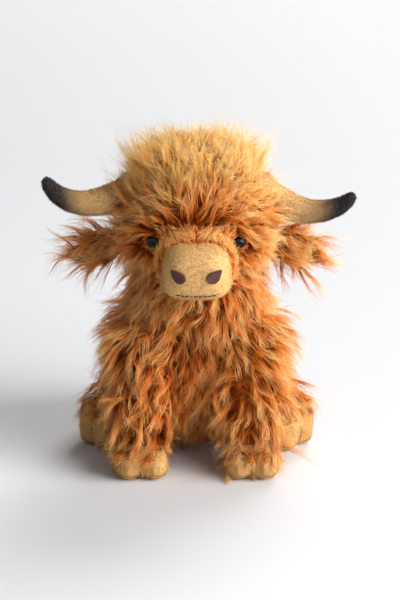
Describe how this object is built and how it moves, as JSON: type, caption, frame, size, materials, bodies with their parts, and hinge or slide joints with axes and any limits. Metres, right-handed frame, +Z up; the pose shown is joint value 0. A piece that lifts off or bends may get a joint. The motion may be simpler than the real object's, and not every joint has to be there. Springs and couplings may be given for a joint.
{
  "type": "plush highland cow",
  "caption": "Seated stuffed highland cow with shaggy long-pile fur, plush muzzle and hooves, curved fabric horns, and limbs, ears and tail that flex at their seams.",
  "frame": {"origin": "centre of the flat seat of the body, on the floor", "axes": "+Z up; the toy faces -Y; +X is the toy's own left, on the right of the picture"},
  "size_m": [0.2472, 0.2185, 0.27],
  "materials": {
    "fur": "long shaggy orange-brown pile",
    "short_fur": "clipped orange pile",
    "plush": "short tan plush",
    "horn": "short tan plush shaded to black at the tip",
    "thread": "dark brown embroidery thread",
    "fibre": "white polyester fibre",
    "bag": "plain woven bag of pellets",
    "eye": "glossy dome with a brown iris",
    "washer": "moulded white plastic"
  },
  "bodies": {
    "torso": {"body_pelt": "fur", "body_filling": "fibre", "pellet_bag": "bag"},
    "head": {"head_pelt": "fur", "head_filling": "fibre", "nose_bridge": "short_fur", "muzzle_skin": "plush", "mouth_stitch": "thread", "nostril_left": "thread", "nostril_right": "thread", "eye_left": "eye", "eye_right": "eye", "eye_washer_left": "washer", "eye_washer_right": "washer", "crown_tuft": "fur"},
    "horn_left": {"horn_skin_left": "horn", "horn_filling_left": "fibre"},
    "horn_right": {"horn_skin_right": "horn", "horn_filling_right": "fibre"},
    "ear_left": {"ear_pelt_left": "fur", "ear_lining_left": "plush"},
    "ear_right": {"ear_pelt_right": "fur", "ear_lining_right": "plush"},
    "foreleg_left": {"foreleg_pelt_left": "fur", "foreleg_hoof_left": "plush", "foreleg_filling_left": "fibre", "foreleg_toe_stitch_left": "thread"},
    "foreleg_right": {"foreleg_pelt_right": "fur", "foreleg_hoof_right": "plush", "foreleg_filling_right": "fibre", "foreleg_toe_stitch_right": "thread"},
    "hindleg_left": {"hindleg_pelt_left": "fur", "hindleg_hoof_left": "plush", "hindleg_filling_left": "fibre", "hindleg_toe_stitch_left": "thread"},
    "hindleg_right": {"hindleg_pelt_right": "fur", "hindleg_hoof_right": "plush", "hindleg_filling_right": "fibre", "hindleg_toe_stitch_right": "thread"},
    "tail": {"tail_cord": "fur", "tail_tuft": "fur"}
  },
  "joints": [
    {"name": "head_nod", "type": "hinge", "parent": "torso", "child": "head", "pos_m": [0, -0.042, 0.142], "axis": [1, 0, 0], "range_deg": [-12, 12], "stiffness_Nm_per_rad": 1.2},
    {"name": "horn_left_flex", "type": "hinge", "parent": "head", "child": "horn_left", "pos_m": [0.0497, -0.046, 0.223], "axis": [0, 1, 0], "range_deg": [-8, 8], "stiffness_Nm_per_rad": 0.1},
    {"name": "horn_right_flex", "type": "hinge", "parent": "head", "child": "horn_right", "pos_m": [-0.0497, -0.046, 0.223], "axis": [0, 1, 0], "range_deg": [-8, 8], "stiffness_Nm_per_rad": 0.1},
    {"name": "ear_left_flop", "type": "hinge", "parent": "head", "child": "ear_left", "pos_m": [0.05613, -0.04, 0.18], "axis": [0, 1, 0], "range_deg": [-12, 20], "stiffness_Nm_per_rad": 0.02},
    {"name": "ear_right_flop", "type": "hinge", "parent": "head", "child": "ear_right", "pos_m": [-0.05613, -0.04, 0.18], "axis": [0, -1, 0], "range_deg": [-12, 20], "stiffness_Nm_per_rad": 0.02},
    {"name": "foreleg_left_raise", "type": "hinge", "parent": "torso", "child": "foreleg_left", "pos_m": [0.042, -0.061, 0.098], "axis": [-1, 0, 0], "range_deg": [0, 30], "stiffness_Nm_per_rad": 0.2},
    {"name": "foreleg_right_raise", "type": "hinge", "parent": "torso", "child": "foreleg_right", "pos_m": [-0.042, -0.061, 0.098], "axis": [-1, 0, 0], "range_deg": [0, 30], "stiffness_Nm_per_rad": 0.2},
    {"name": "hindleg_left_lift", "type": "hinge", "parent": "torso", "child": "hindleg_left", "pos_m": [0.052, -0.014, 0.034], "axis": [-0.6428, -0.766, 0], "range_deg": [0, 18], "stiffness_Nm_per_rad": 0.2},
    {"name": "hindleg_right_lift", "type": "hinge", "parent": "torso", "child": "hindleg_right", "pos_m": [-0.052, -0.014, 0.034], "axis": [-0.6428, 0.766, 0], "range_deg": [0, 18], "stiffness_Nm_per_rad": 0.2},
    {"name": "tail_swing", "type": "hinge", "parent": "torso", "child": "tail", "pos_m": [0, 0.05776, 0.058], "axis": [0, 1, 0], "range_deg": [-25, 25], "stiffness_Nm_per_rad": 0.01}
  ]
}
